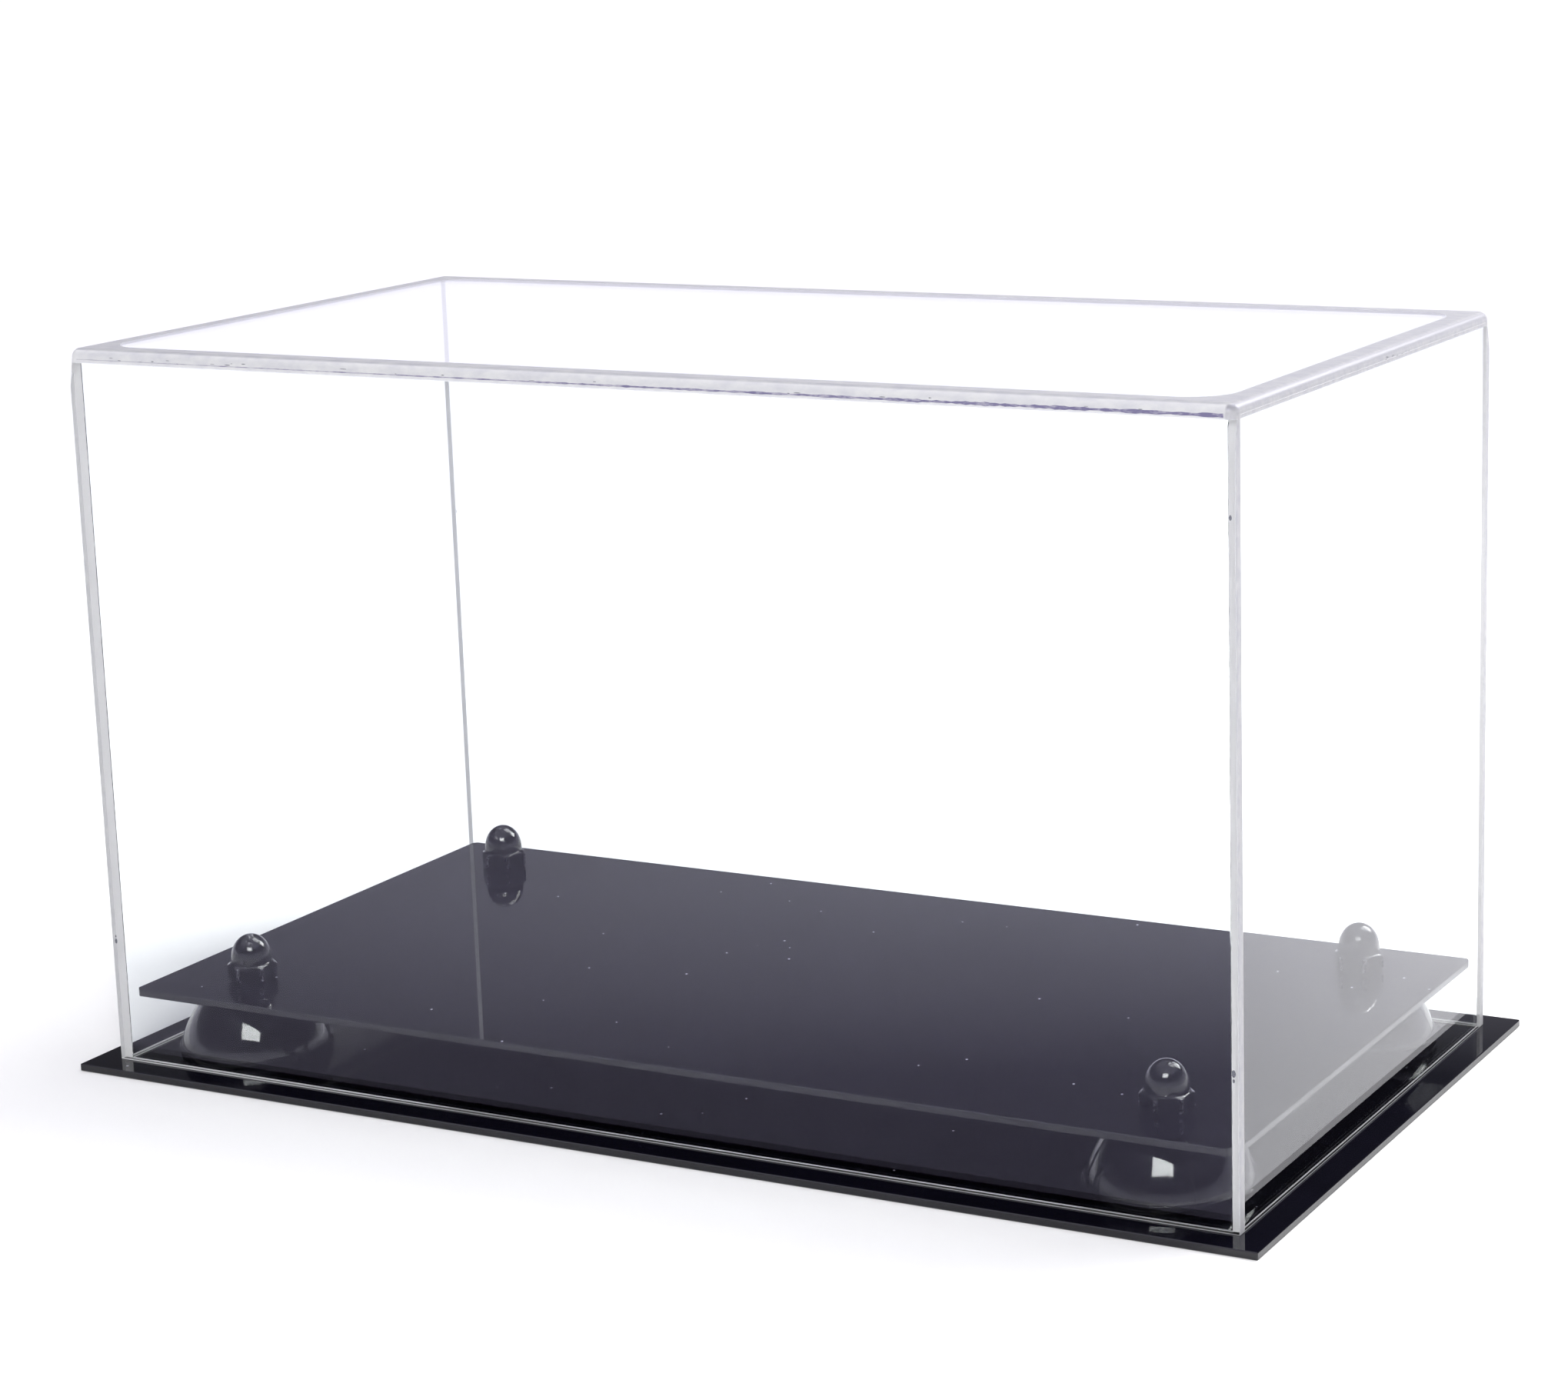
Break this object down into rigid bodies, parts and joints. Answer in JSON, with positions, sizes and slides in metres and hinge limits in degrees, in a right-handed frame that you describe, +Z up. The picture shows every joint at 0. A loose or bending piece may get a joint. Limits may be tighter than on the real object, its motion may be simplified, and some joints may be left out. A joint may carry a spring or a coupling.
{
  "type": "table-top display case",
  "caption": "Clear rectangular display cover that lifts off a flat black base carrying a raised platform on bell-shaped feet with domed cap nuts.",
  "frame": {"origin": "centre of the base plate's underside, on the table", "axes": "+X along the long front to the right, +Y to the back, +Z up"},
  "size_m": [0.405, 0.222, 0.2314],
  "materials": {
    "black_acrylic": "polished black cast sheet",
    "moulded_black_plastic": "gloss injection moulding",
    "blackened_steel": "black oxide",
    "black_enamelled_steel": "gloss black enamel",
    "clear_acrylic": "clear cast sheet, cemented and polished"
  },
  "bodies": {
    "base": {"base_plate": "black_acrylic", "riser_platform": "black_acrylic", "foot_front_left": "moulded_black_plastic", "foot_front_right": "moulded_black_plastic", "foot_back_left": "moulded_black_plastic", "foot_back_right": "moulded_black_plastic", "screw_front_left": "blackened_steel", "screw_front_right": "blackened_steel", "screw_back_left": "blackened_steel", "screw_back_right": "blackened_steel", "nut_front_left": "black_enamelled_steel", "nut_front_right": "black_enamelled_steel", "nut_back_left": "black_enamelled_steel", "nut_back_right": "black_enamelled_steel"},
    "cover": {"cover_front": "clear_acrylic", "cover_back": "clear_acrylic", "cover_left": "clear_acrylic", "cover_right": "clear_acrylic", "cover_top": "clear_acrylic"}
  },
  "joints": [
    {"name": "cover_lift", "type": "slide", "parent": "base", "child": "cover", "axis": [0, 0, 1], "range_m": [0, 0.24]}
  ]
}
